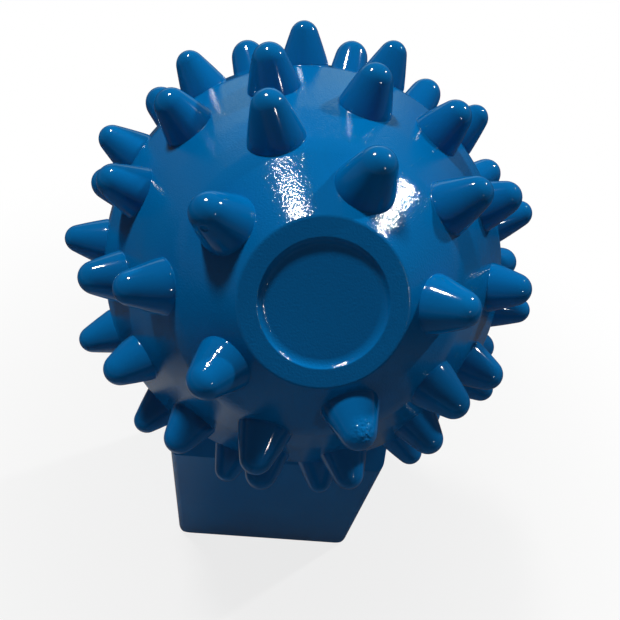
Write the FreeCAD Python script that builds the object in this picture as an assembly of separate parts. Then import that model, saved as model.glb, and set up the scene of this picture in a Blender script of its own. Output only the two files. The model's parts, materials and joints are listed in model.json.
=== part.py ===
"""Roller-cone cutter for rock drilling: one cone with pressed-in carbide buttons, turning on the
journal of its leg. The leg stands on the flat end of its shank. Millimetres, +Z up, origin at the
middle of that flat end, nose of the cone towards -Y."""
import FreeCAD, Part
import os
from math import asin, atan2, cos, degrees, hypot, pi, radians, sin, sqrt, tan

V = FreeCAD.Vector

# ---- leg: block, back and outline -------------------------------------------------------------
leg_width = 88.0            # across the flat sides
leg_depth = 83.0            # front face to the crown of the back
back_radius = 101.0         # the back is turned about the drill's own centre line
foot_round = 6.0            # lower corners, seen from the front
front_round = 3.0           # upright edges of the front face
back_round = 2.5            # edges of the turned back
tip_land = 4.7              # round tip of the leg below the edge of the bearing face
overcut = 1.0               # how far a cutter runs past the face it leaves

# ---- journal axis -----------------------------------------------------------------------------
journal_angle = 36.0        # above the horizontal
nose_height = 200.0         # nose face centre above the flat end
nose_reach = 21.0           # nose face centre ahead of the front face

# ---- cone: lands from the nose to the heel ----------------------------------------------------
nose_radius = 19.0          # flat ring round the recess
recess_radius = 14.5
recess_depth = 1.2
recess_wall = 2.1           # width of its sloping wall
land_a_length, land_a_slope = 20.8, 38.0      # along the surface; lean of the surface's normal
land_b_length, land_b_slope = 17.9, 53.0
land_c_length, land_c_slope = 28.9, 55.0
land_d_length, land_d_slope = 17.5, 72.0      # gage land
land_e_length, land_e_slope = 14.1, 104.0     # heel land
back_chamfer = 2.9          # heel land to back face, along the axis
back_chamfer_width = 5.9    # and across it
back_gap = 0.8              # back face to the leg's bearing face

# ---- bearing ----------------------------------------------------------------------------------
journal_radius = 30.0
journal_length = 30.0
seal_seat_radius = 32.0
head_radius = 27.0
head_length = 16.0
pilot_radius = 15.5
pilot_length = 13.0
running_fit = 0.05          # radial, in both bushings
end_gap = 0.2               # thrust faces
head_play = 0.4             # radial, round the ball head
bushing_wall = 3.0
pilot_bushing_wall = 2.6
washer_thickness = 1.6
washer_rim = 0.8            # washer's edges inside the head's and outside the pilot's
button_radius = 10.0
button_thickness = 3.6
ball_radius = 6.0
ball_count = 13
ball_play = 0.12
race_step = 0.2             # middle of the race outside the head
race_inset = 7.0            # middle of the ball race behind the head's end
ring_section = 2.9
gland_depth = 6.4
gland_play = 0.05

# ---- ball hole, its plug and the weld over it -------------------------------------------------
plug_radius = 6.3
plug_play = 0.05
plug_lean = 20.0            # to the journal axis
weld_thickness = 2.5
weld_lip = 1.5

# ---- grease reservoir in the back -------------------------------------------------------------
reservoir_height = 58.0     # its axis above the flat end
reservoir_radius = 17.0
reservoir_depth = 44.0
canister_wall = 1.5
canister_play = 0.15
seal_squeeze = 0.05         # O-ring short of the bore it seals
diaphragm_wall = 1.6
diaphragm_depth = 22.0
flange_thickness = 2.0
cap_radius = 20.0
cap_thickness = 7.0
cap_inset = 6.5             # outer face of the cap below the crown of the back
cap_boss_radius = 8.0
cap_boss_height = 1.2
vent_radius = 1.5
seal_groove = 2.4
snap_ring_section = 2.0
snap_ring_depth = 1.6       # how deep it sits in its groove
snap_ring_gap = 6.0
grease_passage_radius = 2.5
passage_setback = 32.0      # from the crown of the back

# ---- buttons that guard the tip of the leg ----------------------------------------------------
guard_radius = 4.0
guard_count = 5
guard_spread = 26.0         # degrees between neighbours, round the middle of the tip
guard_margin = 9.0          # their middles inside the edge of the tip
guard_depth = 4.5
guard_proud = 0.4

# ---- carbide buttons --------------------------------------------------------------------------
# Number in the row, barrel radius, length under the land, height of the tip's centre, its round,
# angle of the first seat, and middle of the seats along the land from its nose end. The pitch is
# uneven: `moved` turns single seats (degrees) and `drawn` sets one nearer the nose (mm).
row_a = dict(count=5, radius=7.15, sunk=9.0, reach=6.9, tip=3.8, phase=4.2, along=10.4)
row_b = dict(count=5, radius=7.15, sunk=11.0, reach=7.6, tip=3.85, phase=40.2, along=5.2)
row_c = dict(count=14, radius=7.4, sunk=10.5, reach=6.7, tip=4.5, phase=5.1, along=15.4,
             moved={3: -1.2, 5: 1.5}, drawn={3: 9.8})
row_d = dict(count=14, radius=7.4, sunk=9.0, reach=7.6, tip=4.1, phase=-2.5, along=7.8,
             moved={2: 1.4, 3: 1.4, 4: -2.4, 12: 1.0, 13: 2.0})
row_e = dict(count=14, radius=6.6, sunk=8.0, reach=8.0, tip=5.6, phase=8.9, along=7.4,
             moved={2: 2.0, 3: -1.6})

front_y = -leg_depth / 2
crown_y = leg_depth / 2
nose = V(0, front_y - nose_reach, nose_height)
drill_axis_y = crown_y - back_radius
journal_frame = FreeCAD.Placement(nose, FreeCAD.Rotation(V(1, 0, 0), 90 - journal_angle))


def land(start, behind, length, lean):
    """One conical land: where it starts and ends (radius, distance behind the nose) and its lean."""
    lean = radians(lean)
    end = (start + length * cos(lean), behind + length * sin(lean))
    return dict(start=(start, behind), end=end, lean=lean)


land_a = land(nose_radius, 0, land_a_length, land_a_slope)
land_b = land(*land_a["end"], land_b_length, land_b_slope)
land_c = land(*land_b["end"], land_c_length, land_c_slope)
land_d = land(*land_c["end"], land_d_length, land_d_slope)
land_e = land(*land_d["end"], land_e_length, land_e_slope)
lands = (land_a, land_b, land_c, land_d, land_e)
rows = tuple(zip((row_a, row_b, row_c, row_d, row_e), lands))

# distances behind the nose face, along the journal axis
cone_height = land_e["end"][1] + back_chamfer
bearing_face = cone_height + back_gap
gland_end = cone_height - gland_depth
journal_start = gland_end + end_gap
head_start = journal_start - journal_length
head_end = head_start - head_length
pilot_end = head_end - pilot_length
race_behind = head_end + race_inset
thrust_face = head_end - end_gap - washer_thickness
pilot_floor = thrust_face - pilot_length + 2 * end_gap
button_face = pilot_end - end_gap
# radii about it
main_bore = journal_radius + running_fit + bushing_wall
pilot_bore = pilot_radius + running_fit + pilot_bushing_wall
head_bore = head_radius + head_play
gland_bore = seal_seat_radius + 2 * ring_section + gland_play
race_pitch = head_radius + race_step
# heights of the leg
axis_height = nose_height - bearing_face * sin(radians(journal_angle))
axis_y = nose.y + bearing_face * cos(radians(journal_angle))
tip_height = axis_height + (crown_y - axis_y) / tan(radians(journal_angle)) - tip_land
tip_middle = tip_height - leg_width / 2


def turned(points):
    """Solid of revolution about the journal axis from (radius, distance behind the nose) points."""
    outline = Part.makePolygon([V(r, 0, -behind) for r, behind in (*points, points[0])])
    solid = Part.Face(outline).revolve(V(0, 0, 0), V(0, 0, 1), 360)
    return solid


def ring(inner, outer, start, end):
    """Plain ring about the journal axis."""
    return turned(((inner, start), (outer, start), (outer, end), (inner, end)))


def rod(radius, length, base, direction):
    return Part.makeCylinder(radius, length, base, direction)


def placed(solid):
    """Moves a solid from the journal's own frame to the leg's."""
    solid = solid.copy()
    solid.Placement = journal_frame.multiply(solid.Placement)
    return solid


def to_seat(solid, row, on, number):
    """Stands a solid made along +Z on seat `number` of a row, its land at Z = 0."""
    along = row["along"] - row.get("drawn", {}).get(number, 0)
    at = on["start"][0] + along * cos(on["lean"])
    behind = on["start"][1] + along * sin(on["lean"])
    angle = row["phase"] + 360 / row["count"] * number + row.get("moved", {}).get(number, 0)
    turn = FreeCAD.Rotation(V(0, 0, 1), angle)
    tilt = FreeCAD.Rotation(V(0, 1, 0), degrees(on["lean"]))
    moved = solid.copy()
    moved.Placement = FreeCAD.Placement(turn.multVec(V(at, 0, -behind)), turn.multiply(tilt))
    return moved


def button(row):
    """Carbide button along +Z: barrel, cone and round tip, with the land at Z = 0."""
    radius, reach, tip = row["radius"], row["reach"], row["tip"]
    slant = hypot(radius, reach)
    lean = atan2(radius, reach) - asin(tip / slant)
    side = sqrt(slant ** 2 - tip ** 2)
    shoulder = V(radius - side * sin(lean), 0, side * cos(lean))
    crown = V(0, 0, reach + tip)
    between = V(tip * sin(pi / 4 - lean / 2), 0, reach + tip * cos(pi / 4 - lean / 2))
    foot, corner, base = V(0, 0, -row["sunk"]), V(radius, 0, -row["sunk"]), V(radius, 0, 0)
    edges = [Part.makeLine(foot, corner), Part.makeLine(corner, base), Part.makeLine(base, shoulder),
             Part.Arc(shoulder, between, crown).toShape(), Part.makeLine(crown, foot)]
    return Part.Face(Part.Wire(edges)).revolve(V(0, 0, 0), V(0, 0, 1), 360)


def row_of_buttons(row, on):
    one = button(row)
    return [placed(to_seat(one, row, on, number)) for number in range(row["count"])]


def cone_shell():
    """Cone forging: lands, nose recess, bearing bores, ball race, seal gland and button seats."""
    outer = [(0, recess_depth), (recess_radius - recess_wall, recess_depth), (recess_radius, 0),
             land_a["start"]]
    outer += [on["end"] for on in lands]
    outer += [(land_e["end"][0] - back_chamfer_width, cone_height), (0, cone_height)]
    shell = turned(outer)
    bore = turned(((0, button_face - button_thickness), (button_radius, button_face - button_thickness),
                   (button_radius, pilot_floor), (pilot_bore, pilot_floor), (pilot_bore, thrust_face),
                   (head_bore, thrust_face), (head_bore, head_start - end_gap),
                   (main_bore, head_start - end_gap), (main_bore, gland_end), (gland_bore, gland_end),
                   (gland_bore, cone_height + overcut), (0, cone_height + overcut)))
    race = Part.makeTorus(race_pitch, ball_radius + ball_play, V(0, 0, -race_behind))
    seats = []
    for row, on in rows:
        blank = rod(row["radius"], row["sunk"] + row["radius"], V(0, 0, -row["sunk"]), V(0, 0, 1))
        seats += [to_seat(blank, row, on, number) for number in range(row["count"])]
    return placed(shell.cut([bore, race, *seats]))


def leg_prism():
    """Leg before its journal: rounded front outline crossed with the plan, cut off at the bearing face."""
    half = leg_width / 2
    low = [V(-half, front_y, tip_middle), V(-half, front_y, foot_round), V(-half + foot_round, front_y, 0),
           V(half - foot_round, front_y, 0), V(half, front_y, foot_round), V(half, front_y, tip_middle)]
    turn = foot_round * (1 - cos(pi / 4))
    left_mid, right_mid = V(-half + turn, front_y, turn), V(half - turn, front_y, turn)
    face = [Part.makeLine(low[0], low[1]), Part.Arc(low[1], left_mid, low[2]).toShape(),
            Part.makeLine(low[2], low[3]), Part.Arc(low[3], right_mid, low[4]).toShape(),
            Part.makeLine(low[4], low[5]), Part.Arc(low[5], V(0, front_y, tip_height), low[0]).toShape()]
    front = Part.Face(Part.Wire(face)).extrude(V(0, leg_depth, 0))

    side_end = drill_axis_y + sqrt(back_radius ** 2 - half ** 2)
    bend = front_round * (1 - cos(pi / 4))
    corners = [V(-half + front_round, front_y, 0), V(half - front_round, front_y, 0),
               V(half, front_y + front_round, 0), V(half, side_end, 0), V(-half, side_end, 0),
               V(-half, front_y + front_round, 0)]
    plan = [Part.makeLine(corners[0], corners[1]),
            Part.Arc(corners[1], V(half - bend, front_y + bend, 0), corners[2]).toShape(),
            Part.makeLine(corners[2], corners[3]),
            Part.Arc(corners[3], V(0, crown_y, 0), corners[4]).toShape(),
            Part.makeLine(corners[4], corners[5]),
            Part.Arc(corners[5], V(-half + bend, front_y + bend, 0), corners[0]).toShape()]
    prism = front.common(Part.Face(Part.Wire(plan)).extrude(V(0, 0, tip_height + overcut)))
    back_edges = [edge for edge in prism.Edges if edge.BoundBox.ZMax > foot_round
                  and edge.BoundBox.YMin > side_end - overcut]
    prism = prism.makeFillet(back_round, back_edges)
    above = placed(rod(nose_height, nose_height, V(0, 0, -bearing_face), V(0, 0, 1)))
    return prism.cut(above)


def ball_hole(radius, start, length):
    """Cylinder on the ball hole's axis, from `start` behind the ball race's middle."""
    lean = radians(plug_lean)
    along = V(0, sin(lean), -cos(lean))
    base = V(0, -race_pitch, -race_behind) + along * start
    return placed(rod(radius, length, base, along))


def plug_exit():
    """Distance along the ball hole from the race to the crown of the back."""
    lean = radians(plug_lean)
    along = journal_frame.Rotation.multVec(V(0, sin(lean), -cos(lean)))
    start = journal_frame.multVec(V(0, -race_pitch, -race_behind))
    return (crown_y - start.y) / along.y


def journal():
    """Bearing pin turned in one with the leg: seal seat, journal, ball head and pilot."""
    pin = turned(((0, pilot_end), (pilot_radius, pilot_end), (pilot_radius, head_end),
                  (head_radius, head_end), (head_radius, head_start), (journal_radius, head_start),
                  (journal_radius, journal_start), (seal_seat_radius, journal_start),
                  (seal_seat_radius, bearing_face + overcut), (0, bearing_face + overcut)))
    return pin.cut(Part.makeTorus(race_pitch, ball_radius + ball_play, V(0, 0, -race_behind)))


def reservoir_rod(radius, outer, inner):
    """Cylinder on the reservoir's axis between two depths below the crown of the back."""
    return rod(radius, inner - outer, V(0, crown_y - outer, reservoir_height), V(0, -1, 0))


def reservoir_ring(inner_radius, radius, outer, inner):
    hole = reservoir_rod(inner_radius, outer - overcut, inner + overcut)
    return reservoir_rod(radius, outer, inner).cut(hole)


cap_bottom = cap_inset + cap_thickness
reservoir_bottom = cap_bottom + flange_thickness + reservoir_depth


def guard_pins(radius, proud):
    """Flat-topped pins set square into the back, round the tip of the leg."""
    pins = []
    from_middle = leg_width / 2 - guard_margin
    for number in range(guard_count):
        turn = radians((number - (guard_count - 1) / 2) * guard_spread)
        x = from_middle * sin(turn)
        outward = V(x, sqrt(back_radius ** 2 - x ** 2), 0) / back_radius
        foot = V(0, drill_axis_y, tip_middle + from_middle * cos(turn)) + outward * (back_radius - guard_depth)
        pins.append(rod(radius, guard_depth + proud, foot, outward))
    return pins


def grease_passage():
    """Drilled up from the reservoir into the root of the journal."""
    return rod(grease_passage_radius, axis_height - reservoir_height,
               V(0, crown_y - passage_setback, reservoir_height), V(0, 0, 1))


def leg_forging():
    """Leg with its journal, bored for the ball plug, the reservoir and the guard buttons."""
    leg = leg_prism().fuse(placed(journal())).removeSplitter()
    weld_top = plug_exit()
    bores = [ball_hole(plug_radius + plug_play, 0, weld_top + plug_radius),
             ball_hole(plug_radius + weld_lip, weld_top - weld_thickness, 4 * plug_radius),
             reservoir_rod(reservoir_radius, cap_bottom, reservoir_bottom),
             reservoir_rod(cap_radius, -overcut, cap_bottom + flange_thickness),
             reservoir_ring(cap_radius - overcut, cap_radius + snap_ring_depth,
                            cap_inset - snap_ring_section, cap_inset),
             grease_passage()]
    return leg.cut([*bores, *guard_pins(guard_radius, overcut)])


def back_drum():
    """Everything inside the turned back, to trim what ends flush with it."""
    return rod(back_radius, nose_height + leg_width, V(0, drill_axis_y, 0), V(0, 0, 1))


def ball_plug():
    """Rod that closes the ball hole; its inner end carries on the ball race."""
    race = placed(Part.makeTorus(race_pitch, ball_radius + ball_play, V(0, 0, -race_behind)))
    keep = placed(turned(((0, 0), (head_radius, 0), (head_radius, bearing_face),
                          (4 * head_radius, bearing_face), (4 * head_radius, 3 * bearing_face),
                          (0, 3 * bearing_face))))
    length = plug_exit() - weld_thickness
    return ball_hole(plug_radius, 0, length).common(keep).cut(race)


def plug_weld():
    weld = ball_hole(plug_radius + weld_lip, plug_exit() - weld_thickness, 4 * plug_radius)
    return weld.common(back_drum())


def retaining_balls():
    balls = []
    for number in range(ball_count):
        turn = radians(360 / ball_count * number)
        at = V(race_pitch * sin(turn), -race_pitch * cos(turn), -race_behind)
        balls.append(placed(Part.makeSphere(ball_radius, at)))
    return balls


def reservoir_canister():
    """Thin cup that lines the reservoir, flanged at its mouth, with a hole for the grease."""
    outer = reservoir_radius - canister_play
    cup = reservoir_rod(outer, cap_bottom + flange_thickness, reservoir_bottom - canister_play)
    cup = cup.fuse(reservoir_rod(cap_radius - canister_play, cap_bottom + flange_thickness / 2,
                                 cap_bottom + flange_thickness))
    inside = reservoir_rod(outer - canister_wall, cap_bottom, reservoir_bottom - canister_play - canister_wall)
    return cup.cut(inside).cut(grease_passage()).removeSplitter()


def reservoir_diaphragm():
    """Rubber bag hung in the canister by its rim."""
    bag = reservoir_radius - canister_play - canister_wall - diaphragm_wall
    rim = reservoir_rod(cap_radius - canister_play, cap_bottom, cap_bottom + flange_thickness / 2)
    skin = reservoir_rod(bag, cap_bottom, cap_bottom + diaphragm_depth)
    hollow = reservoir_rod(bag - diaphragm_wall, cap_bottom - overcut,
                           cap_bottom + diaphragm_depth - diaphragm_wall)
    return rim.fuse(skin).cut(hollow).removeSplitter()


def reservoir_cap():
    """Steel cap: seal groove round its rim, raised middle and a vent."""
    radius = cap_radius - canister_play
    cap = reservoir_rod(radius, cap_inset, cap_bottom)
    cap = cap.fuse(reservoir_rod(cap_boss_radius, cap_inset - cap_boss_height, cap_inset + overcut))
    middle = (cap_inset + cap_bottom) / 2
    groove = reservoir_ring(radius - seal_groove, radius + overcut, middle - seal_groove / 2,
                            middle + seal_groove / 2)
    vent = reservoir_rod(vent_radius, 0, reservoir_depth)
    return cap.cut([groove, vent]).removeSplitter()


def cap_seal():
    """O-ring in the cap's groove, clear of the groove's floor by the cap's play."""
    section = seal_groove / 2 - canister_play / 2
    middle = (cap_inset + cap_bottom) / 2
    major = cap_radius - seal_squeeze - section
    return Part.makeTorus(major, section, V(0, crown_y - middle, reservoir_height), V(0, 1, 0))


def snap_ring():
    """Split wire ring that holds the cap in."""
    outer = cap_radius + snap_ring_depth - canister_play
    whole = reservoir_ring(outer - 2 * snap_ring_depth, outer, cap_inset - snap_ring_section, cap_inset)
    slot = Part.makeBox(snap_ring_gap, leg_depth, 2 * cap_radius,
                        V(-snap_ring_gap / 2, 0, reservoir_height - 2 * cap_radius))
    return whole.cut(slot)


def guard_buttons():
    return guard_pins(guard_radius, guard_proud)


def seal_ring():
    """O-ring between the cone's gland and the seal seat."""
    major = seal_seat_radius + ring_section + gland_play / 2
    return placed(Part.makeTorus(major, ring_section - gland_play / 2,
                                 V(0, 0, -(cone_height - gland_depth / 2))))


def main_bushing():
    return placed(ring(journal_radius + running_fit, main_bore, head_start, gland_end))


def thrust_washer():
    return placed(ring(pilot_bore + washer_rim, head_bore - washer_rim, thrust_face,
                       thrust_face + washer_thickness))


def pilot_bushing():
    return placed(ring(pilot_radius + running_fit, pilot_bore, pilot_end + 2 * end_gap, thrust_face))


def thrust_button():
    return placed(ring(0, button_radius, button_face - button_thickness, button_face))


os.makedirs("parts", exist_ok=True)
nodes = {
    "leg_forging": leg_forging(), "ball_plug": ball_plug(), "plug_weld": plug_weld(),
    "retaining_balls": retaining_balls(), "reservoir_canister": reservoir_canister(),
    "reservoir_diaphragm": reservoir_diaphragm(), "reservoir_cap": reservoir_cap(),
    "cap_seal": cap_seal(), "snap_ring": snap_ring(), "guard_buttons": guard_buttons(),
    "cone_shell": cone_shell(), "seal_ring": seal_ring(), "main_bushing": main_bushing(),
    "thrust_washer": thrust_washer(), "pilot_bushing": pilot_bushing(),
    "thrust_button": thrust_button(),
    "middle_row_buttons": row_of_buttons(row_c, land_c),
    "gage_row_buttons": row_of_buttons(row_d, land_d),
    "heel_row_buttons": row_of_buttons(row_e, land_e),
}
for name, row, on in (("nose_button", row_a, land_a), ("inner_button", row_b, land_b)):
    for number, solid in enumerate(row_of_buttons(row, on), 1):
        nodes[f"{name}_{number}"] = solid

for name, shape in nodes.items():
    solids = shape if isinstance(shape, list) else shape.Solids
    whole = solids[0] if len(solids) == 1 else Part.makeCompound(solids)
    whole.exportStep(f"parts/{name}.step")
    print(name, len(solids), "solids", round(whole.Volume / 1000, 2), "cm3", whole.isValid())
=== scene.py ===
"""Looks of the roller-cone cutter: enamelled cone and buttons on their leg, over the CAD part."""
import json
from math import acos, asin, atan, atan2, cos, hypot, pi, radians, sin, sqrt

import bmesh
import bpy
from mathutils import Euler, Matrix, Vector
from mathutils.bvhtree import BVHTree


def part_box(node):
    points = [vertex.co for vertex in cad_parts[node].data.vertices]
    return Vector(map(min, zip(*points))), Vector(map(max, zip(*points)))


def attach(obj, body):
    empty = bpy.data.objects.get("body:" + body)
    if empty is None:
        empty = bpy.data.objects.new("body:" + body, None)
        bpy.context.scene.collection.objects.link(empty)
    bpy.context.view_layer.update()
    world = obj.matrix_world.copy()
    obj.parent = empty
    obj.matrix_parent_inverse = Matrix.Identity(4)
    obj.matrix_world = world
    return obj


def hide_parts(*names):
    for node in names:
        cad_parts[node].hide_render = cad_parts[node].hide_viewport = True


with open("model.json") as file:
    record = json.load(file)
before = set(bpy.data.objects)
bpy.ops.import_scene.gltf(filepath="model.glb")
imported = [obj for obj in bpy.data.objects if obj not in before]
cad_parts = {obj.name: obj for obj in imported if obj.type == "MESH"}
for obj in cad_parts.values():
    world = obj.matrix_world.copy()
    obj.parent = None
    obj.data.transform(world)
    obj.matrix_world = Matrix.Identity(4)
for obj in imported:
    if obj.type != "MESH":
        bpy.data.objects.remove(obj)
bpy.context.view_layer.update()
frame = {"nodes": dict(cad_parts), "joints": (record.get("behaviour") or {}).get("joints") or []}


# ---- Viewpoint: a hand-held lens a hand's breadth above and ahead of the nose, looking steeply
# down on it. It leans a little to the side, as such a view does. It is placed from the cone's hub.
hub = Vector(frame["joints"][0]["pos_m"])
nose_way = Vector(frame["joints"][0]["axis"])
eye = hub + Vector((-0.01285, -0.07618, 0.07598))
heading, stoop, lean = 7.475, 45.475, 11.763     # degrees: right, down, and rolled to the left
sensor_width, view_spread = 36, 1.24             # mm; width of the view a unit of length away

look = bpy.data.objects.new("look", bpy.data.cameras.new("look"))
bpy.context.scene.collection.objects.link(look)
look.data.sensor_width = sensor_width
look.data.lens = sensor_width / view_spread
look.data.clip_start = 0.01
upright = Euler((radians(90 - stoop), 0, radians(-heading))).to_matrix()
aim = upright @ Matrix.Rotation(radians(lean), 3, "Z")
look.matrix_world = Matrix.Translation(eye) @ aim.to_4x4()
bpy.context.scene.camera = look


# ---- Lamps: two small soft boxes high behind the cutter, left and right, and a weak one to the
# front right. The room is dim but for one pale wall behind, which the enamel's far lands mirror.
def soft_box(name, azimuth, elevation, distance, width, power):
    """A round lamp aimed at the hub. Its azimuth runs clockwise from straight behind the cutter."""
    lamp = bpy.data.objects.new(name, bpy.data.lights.new(name, "AREA"))
    lamp.data.shape = "DISK"
    lamp.data.size = width
    lamp.data.energy = power
    lamp.data.color = (1.0, 0.99, 0.96)
    turn, rise = radians(azimuth), radians(elevation)
    away = Vector((sin(turn) * cos(rise), cos(turn) * cos(rise), sin(rise)))
    lamp.matrix_world = (Matrix.Translation(hub + away * distance)
                         @ away.to_track_quat("Z", "Y").to_matrix().to_4x4())
    lamp.visible_camera = False
    bpy.context.scene.collection.objects.link(lamp)


soft_box("lamp_left", -50, 64, 1.0, 0.14, 7.5)
soft_box("lamp_right", 57, 40, 1.6, 0.08, 12.6)
soft_box("lamp_front", 142, 27, 1.6, 0.09, 1.35)


class Wire:
    """A shader socket that takes part in Python arithmetic: each operator adds its Math node."""

    def __init__(self, tree, socket):
        self.tree, self.socket = tree, socket

    def maths(self, operation, *terms):
        step = self.tree.nodes.new("ShaderNodeMath")
        step.operation = operation
        for place, term in zip(step.inputs, terms):
            if isinstance(term, Wire):
                self.tree.links.new(term.socket, place)
            else:
                place.default_value = term
        return Wire(self.tree, step.outputs[0])

    def __add__(self, other):
        return self.maths("ADD", self, other)

    __radd__ = __add__

    def __sub__(self, other):
        return self.maths("SUBTRACT", self, other)

    def __rsub__(self, other):
        return self.maths("SUBTRACT", other, self)

    def __mul__(self, other):
        return self.maths("MULTIPLY", self, other)

    def clear(self, low, high):
        """0 below `low`, 1 above `high` and a soft rise between them."""
        ramp = self.tree.nodes.new("ShaderNodeMapRange")
        ramp.interpolation_type = "SMOOTHSTEP"
        self.tree.links.new(self.socket, ramp.inputs["Value"])
        ramp.inputs["From Min"].default_value = low
        ramp.inputs["From Max"].default_value = high
        return Wire(self.tree, ramp.outputs[0])


class Wiring:
    """A node tree: any node comes from `node`, with its settings and what feeds its sockets."""

    def __init__(self, tree):
        self.tree = tree

    def feed(self, node, values):
        for name, value in values.items():
            socket = node.inputs[name if isinstance(name, int) else name.replace("_", " ")]
            if isinstance(value, Wire):
                self.tree.links.new(value.socket, socket)
            else:
                socket.default_value = value

    def node(self, kind, settings=None, output=0, feeds=None, **values):
        made = self.tree.nodes.new("ShaderNode" + kind)
        for name, value in (settings or {}).items():
            setattr(made, name, value)
        self.feed(made, {**(feeds or {}), **values})
        return Wire(self.tree, made.outputs[output])

    def vector(self, operation, first, second=None):
        """The number that a Vector Math node makes of one or two vectors."""
        feeds = {0: first} if second is None else {0: first, 1: second}
        return self.node("VectorMath", {"operation": operation}, "Value", feeds)

    def blend(self, share, first, second):
        return self.node("Mix", {"data_type": "RGBA"}, 2, {0: share, 6: first, 7: second})

    def ray(self, kind):
        return self.node("LightPath", output=f"Is {kind} Ray")

    def seen(self, mirrored=0.0):
        """1 to the eye and through glass, `mirrored` in a reflection, 0 to what gets lit by it."""
        return self.ray("Camera") + self.ray("Transmission") + self.ray("Glossy") * mirrored


room = bpy.data.worlds.new("room")
bpy.context.scene.world = room
room.use_nodes = True
air = Wiring(room.node_tree)
sight = air.node("TexCoord", output="Generated")
height = air.node("SeparateXYZ", output="Z", Vector=sight)
ahead = air.vector("DOT_PRODUCT", sight, (-0.12, 0.99, 0))
wall = ahead.clear(0.78, 0.93) * height.clear(0.10, 0.22) * (1 - height.clear(0.32, 0.40))
surroundings = air.blend(wall, (0.045, 0.05, 0.055, 1), (0.46, 0.62, 0.44, 1))
gloom = air.node("Background", Color=surroundings)
paper = air.node("Background", Color=(1, 1, 1, 1))
horizon = (1 - height.clear(0.0, 0.3)) * 0.05
backdrop = air.node("MixShader", feeds={0: air.seen(horizon), 1: gloom, 2: paper})
air.feed(room.node_tree.nodes["World Output"], {"Surface": backdrop})


# ---- Leg: a steel forging with the journal turned on it, its front milled flat and its back
# turned to the hole's size. Blasted, then sprayed with the same glossy enamel as the cone.
class Finish(Wiring):
    """A material being mixed round its Principled shader."""

    def __init__(self, name, **constants):
        self.material = bpy.data.materials.new(name)
        self.material.use_nodes = True
        super().__init__(self.material.node_tree)
        self.shader = self.tree.nodes["Principled BSDF"]
        self.feed(self.shader, constants)
        self.place = self.node("TexCoord", output="Object")

    def noise(self, scale, detail=2.0):
        return self.node("TexNoise", Vector=self.place, Scale=scale, Detail=detail)

    def bump(self, microns):
        return self.node("Bump", Height=microns, Distance=1e-6)

    def coat(self, **values):
        self.feed(self.shader, values)
        return self.material


def enamel(name, fine, coarse, blasting=0, marks=()):
    """Glossy sprayed enamel: `fine` and `coarse` orange peel over `blasting`, all in microns.

    A mark is a blemish in the wet coat: its middle, reach, ripples in a metre, and height.
    """
    paint = Finish(name, IOR=1.5)
    drift = paint.noise(22).clear(0.35, 0.68)
    relief = paint.noise(2000, 1.0) * fine + paint.noise(800, 1.0) * coarse
    if blasting:
        relief = relief + paint.noise(230, 3.0) * blasting
    for middle, reach, ripples, rise in marks:
        within = 1 - paint.vector("DISTANCE", paint.place, middle).clear(0.0, reach)
        relief = relief + paint.noise(ripples, 1.0) * within * rise
    speck = paint.node("TexVoronoi", output="Distance", Vector=paint.place, Scale=130.0)
    nibs = 1 - speck.clear(0.03, 0.09)
    thick, thin = (0.0, 0.145, 0.425, 1), (0.0, 0.161, 0.46, 1)
    return paint.coat(Base_Color=paint.blend(drift, thick, thin), Roughness=0.06 + drift * 0.03,
                      Normal=paint.bump(relief + nibs * 22))


def joined(name, form, material, body, slot, *nodes):
    """Makes a mesh piece from a form, smooth over its softened edges, and rides it on its body."""
    for face in form.faces:
        face.smooth = True
    for edge in form.edges:
        edge.smooth = edge.calc_face_angle(0) < radians(35)
    mesh = bpy.data.meshes.new(name)
    form.to_mesh(mesh)
    form.free()
    mesh.materials.append(material)
    made = bpy.data.objects.new(name, mesh)
    bpy.context.scene.collection.objects.link(made)
    made.modifiers.new("even shading", "WEIGHTED_NORMAL").keep_sharp = True
    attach(made, body)
    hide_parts(*nodes)


leg_enamel = enamel("leg_enamel", 18, 12, 30)
leg = bmesh.new()
leg.from_mesh(frame["nodes"]["leg_forging"].data)
bmesh.ops.remove_doubles(leg, verts=leg.verts, dist=2e-6)
bmesh.ops.dissolve_limit(leg, angle_limit=radians(0.3), verts=leg.verts, edges=leg.edges)
forging = BVHTree.FromBMesh(leg)
corners = [edge for edge in leg.edges if edge.calc_face_angle(0) > radians(30)]
bmesh.ops.bevel(leg, geom=corners, offset=0.0005, offset_type="OFFSET", segments=3, profile=0.5,
                affect="EDGES", clamp_overlap=False, material=-1)
for vert in leg.verts:      # where softened edges cross, their corners are drawn back to the steel
    painted_side_light, out, _, _ = forging.find_nearest(vert.co)
    if (vert.co - painted_side_light).dot(out) > 0:
        vert.co = painted_side_light
joined("leg_skin", leg, leg_enamel, "leg", "leg_enamel", "leg_forging")


# ---- Guard buttons: five flat carbide pins pressed square into the back, round the tip of the
# leg, so that it wears slowly. Each stands a little proud, with its rim broken.
def turned(outline, turns):
    """Solid of revolution about Z from (radius, height, softening of the corner) points."""
    form = bmesh.new()
    corners = [form.verts.new((radius, 0, height)) for radius, height, _ in outline]
    for one, other in zip(corners, corners[1:]):
        form.edges.new((one, other))
    for corner, (_, _, softening) in zip(corners, outline):
        if softening:
            bmesh.ops.bevel(form, geom=[corner], offset=softening, offset_type="OFFSET",
                            segments=5, profile=0.5, affect="VERTICES", material=-1)
    bmesh.ops.spin(form, geom=form.verts[:] + form.edges[:], axis=(0, 0, 1), cent=(0, 0, 0),
                   angle=2 * pi, steps=turns, use_merge=True)
    bmesh.ops.remove_doubles(form, verts=form.verts, dist=1e-6)
    bmesh.ops.recalc_face_normals(form, faces=form.faces)
    return form


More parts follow.
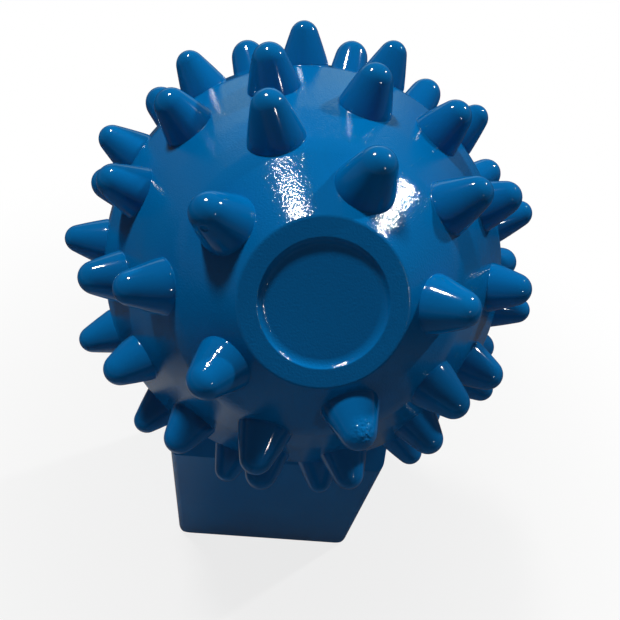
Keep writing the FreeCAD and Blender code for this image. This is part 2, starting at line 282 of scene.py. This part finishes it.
def gathered(forms):
    """Several forms as one."""
    whole = bmesh.new()
    for form in forms:
        one = bpy.data.meshes.new("one")
        form.to_mesh(one)
        form.free()
        whole.from_mesh(one)
        bpy.data.meshes.remove(one)
    return whole


back_radius = 0.101                              # of the leg's turned back
guard_radius, guard_proud, guard_depth = 0.004, 0.0004, 0.0045
guard_ring, guard_spread, guard_rim = 0.035, 26, 0.0004
guard_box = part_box("guard_buttons")
back_axis = guard_box[1][1] - guard_proud - back_radius
guard_middle = guard_box[1][2] - guard_radius - guard_ring
guards = []
for number in range(-2, 3):
    turn = radians(guard_spread * number)
    aside = guard_ring * sin(turn)
    out = Vector((aside, sqrt(back_radius ** 2 - aside ** 2), 0)) / back_radius
    guards.append(turned([(0, -guard_depth, 0), (guard_radius, -guard_depth, 0),
                          (guard_radius, guard_proud, guard_rim), (0, guard_proud, 0)], 40))
    place = Vector((0, back_axis, guard_middle + guard_ring * cos(turn))) + out * back_radius
    square = out.to_track_quat("Z", "X").to_matrix().to_4x4()
    guards[-1].transform(Matrix.Translation(place) @ square)
joined("guard_studs", gathered(guards), leg_enamel, "leg", "leg_enamel", "guard_buttons")


# ---- Bearing: bronze bushings and a thrust washer pressed into the cone, a hardened thrust button
# ahead of the pilot, and a rubber seal ring in its gland. Turned, and wet with grease.
def carried(material, *names):
    """Gives CAD nodes whose shape is right their material."""
    for name in names:
        materials = frame["nodes"][name].data.materials
        materials.clear()
        materials.append(material)


def metal(name, colour, stain, roughness, lay, pitch):
    """Bare metal with its tool marks: `lay` stretches them, `pitch` is their number in a metre."""
    bare = Finish(name, Metallic=1.0)
    along = bare.node("Mapping", Vector=bare.place, Scale=lay)
    scratches = bare.node("TexNoise", Vector=along, Scale=pitch, Detail=3.0)
    grease = bare.noise(60, 4.0).clear(0.42, 0.62)
    return bare.coat(Base_Color=bare.blend(grease, stain, colour),
                     Roughness=roughness + scratches * 0.12 - grease * 0.05,
                     Normal=bare.bump(scratches * 6))


bronze = metal("bearing_bronze", (0.62, 0.36, 0.13, 1), (0.40, 0.21, 0.07, 1), 0.24,
               (1, 0.2, 0.2), 1600.0)
carried(bronze, "main_bushing", "thrust_washer", "pilot_bushing")
rubber = Finish("seal_rubber", IOR=1.5, Specular_IOR_Level=0.4)
bloom = rubber.noise(240, 5.0)
dusted = rubber.blend(bloom.clear(0.45, 0.7), (0.012, 0.012, 0.013, 1), (0.045, 0.045, 0.047, 1))
rubber.coat(Base_Color=dusted, Roughness=0.42 + bloom * 0.3, Normal=rubber.bump(bloom * 14))
carried(rubber.material, "seal_ring")


# ---- Ball race: chromed steel balls fed in through a hole in the leg lock the cone on its journal.
# A ground steel plug closes the hole, and a plug weld laid in a spiral closes it in turn.
chrome = metal("ball_steel", (0.66, 0.67, 0.69, 1), (0.50, 0.50, 0.50, 1), 0.10,
               (1, 1, 1), 2400.0)
carried(chrome, "retaining_balls")
ground = metal("plug_steel", (0.52, 0.53, 0.55, 1), (0.33, 0.31, 0.28, 1), 0.22,
               (1, 0.15, 0.5), 1900.0)
carried(ground, "ball_plug", "thrust_button")

weld_radius, weld_depth, weld_rings = 0.0077, 0.0024, 30
bead_pitch, bead_height, ripple_height = 0.0026, 0.00035, 0.00006
bead = turned([(0, -weld_depth, 0), (weld_radius, -weld_depth, 0)]
              + [(weld_radius * (1 - step / weld_rings), 0, 0) for step in range(weld_rings + 1)],
              96)
weld_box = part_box("plug_weld")
weld_middle = Vector((0, 0, (weld_box[0][2] + weld_box[1][2]) / 2))
for vert in bead.verts:
    if vert.co.z > -weld_depth / 2:
        out = hypot(vert.co.x, vert.co.y)
        turn = atan2(vert.co.y, vert.co.x)
        crown = abs(sin(pi * (out / bead_pitch + turn / (2 * pi))))
        ripple = sin(turn * (6 + 20 * out / weld_radius) + 4 * crown)
        toe = 1 - (out / weld_radius) ** 8
        vert.co.z = toe * (bead_height * (crown - 0.7) + ripple_height * ripple)
    vert.co.z += sqrt(back_radius ** 2 - vert.co.x ** 2) + back_axis
backwards = Matrix.Rotation(radians(-90), 4, "X")
bead.transform(Matrix.Translation(weld_middle) @ backwards)
joined("weld_bead", bead, leg_enamel, "leg", "leg_enamel", "plug_weld")


# ---- Grease reservoir: a thin steel canister with a rubber diaphragm in its mouth, under a turned
# cap with a vent. A split wire ring in a groove holds the cap, and the enamel covers both.
carried(ground, "reservoir_canister")
carried(rubber.material, "reservoir_diaphragm", "cap_seal")

boss_radius, boss_foot, boss_height, vent_radius = 0.0080, 0.0092, 0.0012, 0.0015
groove = 0.0024                                  # as wide as it is deep
cap_box, wire_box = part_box("reservoir_cap"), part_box("snap_ring")
cap_foot, cap_face = cap_box[0][1], cap_box[1][1] - boss_height
cap_middle = Vector((0, 0, (cap_box[0][2] + cap_box[1][2]) / 2))
cap_radius = (cap_box[1][0] - cap_box[0][0]) / 2
groove_high = (cap_face + cap_foot) / 2 + groove / 2
groove_low = groove_high - groove
cap = turned([(vent_radius, cap_foot, 0), (cap_radius, cap_foot, 0.0004),
              (cap_radius, groove_low, 0.0002), (cap_radius - groove, groove_low, 0),
              (cap_radius - groove, groove_high, 0), (cap_radius, groove_high, 0.0002),
              (cap_radius, cap_face, 0.0006), (boss_foot, cap_face, 0.0008),
              (boss_radius, cap_face + boss_height, 0.0005),
              (vent_radius, cap_face + boss_height, 0.0003), (vent_radius, cap_foot, 0)], 96)
cap.transform(Matrix.Translation(cap_middle) @ backwards)
joined("turned_cap", cap, leg_enamel, "leg", "leg_enamel", "reservoir_cap")

wire_split, wire_share = 0.006, 0.97             # between its ends; of its room in the groove
wire_radius = (wire_box[1][1] - wire_box[0][1]) / 2
wire_middle = (wire_box[1][0] - wire_box[0][0]) / 2 - wire_radius
wire_height = (wire_box[0][1] + wire_box[1][1]) / 2
split = 2 * asin(wire_split / 2 / wire_middle)
wire = bmesh.new()
section = bmesh.ops.create_circle(wire, cap_ends=False, radius=wire_radius * wire_share,
                                  segments=20)["verts"]
bmesh.ops.rotate(wire, verts=section, cent=(0, 0, 0), matrix=Matrix.Rotation(radians(90), 3, "X"))
bmesh.ops.translate(wire, verts=section, vec=(wire_middle, 0, wire_height))
bmesh.ops.rotate(wire, verts=section, cent=(0, 0, 0),
                 matrix=Matrix.Rotation(pi / 2 + split / 2, 3, "Z"))
bmesh.ops.spin(wire, geom=wire.verts[:] + wire.edges[:], axis=(0, 0, 1), cent=(0, 0, 0),
               angle=2 * pi - split, steps=96, use_merge=False)
bmesh.ops.holes_fill(wire, edges=[edge for edge in wire.edges if edge.is_boundary])
bmesh.ops.recalc_face_normals(wire, faces=wire.faces)
wire.transform(Matrix.Translation(cap_middle) @ backwards)
joined("wire_ring", wire, leg_enamel, "leg", "leg_enamel", "snap_ring")


# ---- Cone: a steel forging turned to five straight lands, with a shallow round recess in its nose
# and a stepped bore. One coat of glossy enamel covers it, and the film rounds every turned edge.
cone_enamel = enamel("cone_enamel", 62, 3)
upwards = Vector((0, 0, 1)).rotation_difference(nose_way)
journal = Matrix.Translation(hub) @ upwards.to_matrix().to_4x4()

# each land's length along its slope, and the lean of that slope from the nose face
lands = {"nose": (0.0208, radians(38)), "inner": (0.0179, radians(53)),
         "middle": (0.0289, radians(55)), "gage": (0.0175, radians(72)),
         "heel": (0.0141, radians(104))}
nose_edge = 0.019
land_start = {}
rim, depth = nose_edge, 0.0
for land, (length, slope) in lands.items():
    land_start[land] = (rim, depth)
    rim, depth = rim + length * cos(slope), depth + length * sin(slope)
cone_back, chamfer_width = depth + 0.0029, 0.0059
bore_radius, bore_step = 0.03305, 0.0374
head_bore, bore_floor = 0.0274, 0.0212

# the recess's wall is one arc that runs out of the floor and meets the nose face at an edge
recess_edge, recess_floor, recess_wall, wall_steps = 0.0145, 0.0012, 0.0021, 8
rise = 2 * atan(recess_floor / recess_wall)
wall_round = recess_wall / sin(rise)
cone_outline = [(0, -recess_floor, 0)]
for step in range(wall_steps + 1):
    turn = rise * step / wall_steps
    cone_outline.append((recess_edge - recess_wall + wall_round * sin(turn),
                         wall_round * (1 - cos(turn)) - recess_floor,
                         0.0002 * (step == wall_steps)))
cone_outline.append((nose_edge, 0, 0.0004))
for land, softening in (("inner", 0.003), ("middle", 0.0012), ("gage", 0.0016), ("heel", 0.0012)):
    cone_outline.append((land_start[land][0], -land_start[land][1], softening))
cone_outline += [(rim, -depth, 0.001), (rim - chamfer_width, -cone_back, 0.0006),
                 (bore_radius, -cone_back, 0.0006), (bore_radius, -bore_step, 0),
                 (head_bore, -bore_step, 0), (head_bore, -bore_floor, 0), (0, -bore_floor, 0)]
cone_form = turned(cone_outline, 180)
land_surface = BVHTree.FromBMesh(cone_form)
cone_form.transform(journal)
joined("cone_skin", cone_form, cone_enamel, "cone", "cone_enamel", "cone_shell")


# ---- Buttons: blunt carbide cones pressed into drilled seats, five rows of them, sprayed over with
# the cone. The enamel gathers in a fine fillet where each one leaves its land.
film = 0.00026                                   # thickness of the enamel round a button's foot


def button(radius, sunk, reach, tip):
    """One painted button along +Z with its land at Z = 0.

    `reach` is the height of the middle of its round tip, and `tip` its radius. The flank is a
    nearly straight arc from a low shoulder on the barrel, and it runs smoothly into the tip.
    """
    shoulder, flank_round = 0.0003, 0.15
    slant = hypot(radius, reach - shoulder)
    down = atan2(reach - shoulder, radius)
    apart = flank_round - tip
    meet = acos((2 * flank_round * tip - tip ** 2 - slant ** 2) / (2 * slant * apart)) - down
    middle, height = (tip - flank_round) * cos(meet), reach + (tip - flank_round) * sin(meet)
    foot = asin((shoulder - height) / flank_round)
    flank = [foot + (meet - foot) * step / 6 for step in range(7)]
    crown = [meet + (pi / 2 - meet) * step / 10 for step in range(1, 10)]
    barrel = [(0, -sunk, 0), (radius, -sunk, 0.0005), (radius, -0.0016, 0)]
    skirt = [(radius + film, -0.0012, 0), (radius + film, -0.00004, 0), (radius, 0, film * 0.95)]
    sides = [(middle + flank_round * cos(turn), height + flank_round * sin(turn), 0)
             for turn in flank]
    sides += [(tip * cos(turn), reach + tip * sin(turn), 0) for turn in crown]
    return turned(barrel + skirt + sides + [(0, reach + tip, 0)], 52)


def seat(land, along, turn):
    """Place of one button: its land at Z = 0, its length along +Z, in the cone's own frame."""
    start, behind = land_start[land]
    slope = lands[land][1]
    at = Vector((start + along * cos(slope), 0, -behind - along * sin(slope)))
    return (Matrix.Rotation(radians(turn), 4, "Z") @ Matrix.Translation(at)
            @ Matrix.Rotation(slope, 4, "Y"))


def bedded(form, place):
    """Lets the foot of a button follow the curve of its land, then sets the button in its seat."""
    foot, fillet, drop = -0.0013, 0.00028, 0.012
    down = place.to_3x3() @ Vector((0, 0, -1))
    for vert in form.verts:
        if foot < vert.co.z < fillet:
            above = place @ Vector((vert.co.x, vert.co.y, drop))
            hit = land_surface.ray_cast(above, down)[0]
            if hit:
                vert.co.z += drop - (hit - above).length
    form.transform(journal @ place)
    return form


# of each row: barrel radius, length under the land, height of the tip's middle, and its round
row_sizes = {"nose": (0.00715, 0.009, 0.0061, 0.0046), "inner": (0.00715, 0.011, 0.00705, 0.0044),
             "middle": (0.0074, 0.0105, 0.0063, 0.0049), "gage": (0.0074, 0.009, 0.0073, 0.0044),
             "heel": (0.0066, 0.008, 0.008, 0.0056)}
few, many = 5, 14                                # buttons in an inside row and in an outer one
nose_phase, nose_along = 4.2, 0.0104             # first seat's angle; seats along the land

# in the nose row, one button has a dent, the next a wrinkled flank, and the last dried drips
marks = []
for number, spot, reach, ripples, rise in ((2, (-0.0029, 0.0030, 0.0077), 0.0011, 300, -1300),
                                           (3, (-0.0036, -0.0040, 0.0047), 0.0050, 1500, 90),
                                           (4, (-0.0034, 0.0011, 0.0086), 0.0042, 900, 700)):
    place = journal @ seat("nose", nose_along, nose_phase + 360 / few * number)
    marks.append((place @ Vector(spot), reach, ripples, rise))
button_enamel = enamel("button_enamel", 5, 8, marks=marks)

for row, phase, along in (("nose", nose_phase, nose_along), ("inner", 40.2, 0.0052)):
    for number in range(few):
        place = seat(row, along, phase + 360 / few * number)
        name = f"{row}_button_{number + 1}"
        joined("painted_" + name, bedded(button(*row_sizes[row]), place), button_enamel, "cone",
               "button_enamel", name)

# the pitch of the outer rows is uneven: single seats are turned, and one is nearer the nose
for row, phase, along, moved, drawn in (
        ("middle", 5.1, 0.0154, {3: -1.2, 5: 1.5}, {3: 0.0098}),
        ("gage", -2.5, 0.0078, {2: 1.4, 3: 1.4, 4: -2.4, 12: 1.0, 13: 2.0}, {}),
        ("heel", 8.9, 0.0074, {2: 2.0, 3: -1.6}, {})):
    forms = []
    for number in range(many):
        turn = phase + 360 / many * number + moved.get(number, 0)
        place = seat(row, along - drawn.get(number, 0), turn)
        forms.append(bedded(button(*row_sizes[row]), place))
    joined(f"painted_{row}_row", gathered(forms), button_enamel, "cone", "button_enamel",
           f"{row}_row_buttons")


# ---- Floor: a plain sheet under the shank, white to the eye but for the cutter's own shadow. It
# lights the cutter from below as a darker one would, with painted light and shade in its colour:
# paler to the left, as if lit there, and dark further off. In reflections it is a glow instead,
# with a painted patch of light on its left that the enamel mirrors.
floor_form = bmesh.new()
bmesh.ops.create_grid(floor_form, x_segments=1, y_segments=1, size=6)
floor_mesh = bpy.data.meshes.new("floor")
floor_form.to_mesh(floor_mesh)
floor_form.free()
floor = bpy.data.objects.new("floor", floor_mesh)
bpy.context.scene.collection.objects.link(floor)

sheet = Finish("floor", Roughness=0.9, Specular_IOR_Level=0.1)
out = sheet.vector("LENGTH", sheet.place)
side = sheet.vector("DOT_PRODUCT", sheet.place, (-1, -0.25, 0))
# painted light and shade: to bounced light the sheet is paler to the left, as if lit, and dark far
# off
painted_side_light = sheet.blend(side.clear(0.02, 0.12), (0.33, 0.335, 0.35, 1), (0.66, 0.67, 0.70, 1))
painted_light_and_shade = sheet.blend(out.clear(0.25, 0.9), painted_side_light, (0.05, 0.05, 0.05, 1))
sheet.coat(Base_Color=sheet.blend(sheet.seen(), painted_light_and_shade, (0.6, 0.6, 0.6, 1)))
shaded = Wire(sheet.tree, sheet.shader.outputs[0])
glow = sheet.node("Emission", Color=(1, 1, 1, 1), Strength=1.0)
pale = 0.8 + out.clear(0.05, 0.35) * 0.2
veil = sheet.node("MixShader", feeds={0: sheet.seen() * pale, 1: shaded, 2: glow})

# painted reflection: to glossy rays the sheet glows, a lit patch on its left and a dim glow that
# fades further off
lit = side.clear(0.035, 0.11) * (1 - out.clear(0.11, 0.20))
painted_dim_glow = sheet.blend(out.clear(0.06, 0.15), (0.05, 0.05, 0.05, 1), (0.065, 0.065, 0.065, 1))
painted_dim_glow = sheet.blend(out.clear(0.3, 0.7), painted_dim_glow, (0.015, 0.015, 0.015, 1))
shine = sheet.node("Emission", Color=sheet.blend(lit, painted_dim_glow, (0.32, 0.32, 0.31, 1)))
whole = sheet.node("MixShader", feeds={0: sheet.ray("Glossy"), 1: veil, 2: shine})
sheet.feed(sheet.tree.nodes["Material Output"], {"Surface": whole})
floor_mesh.materials.append(sheet.material)

bpy.context.scene.view_settings.view_transform = "Standard"
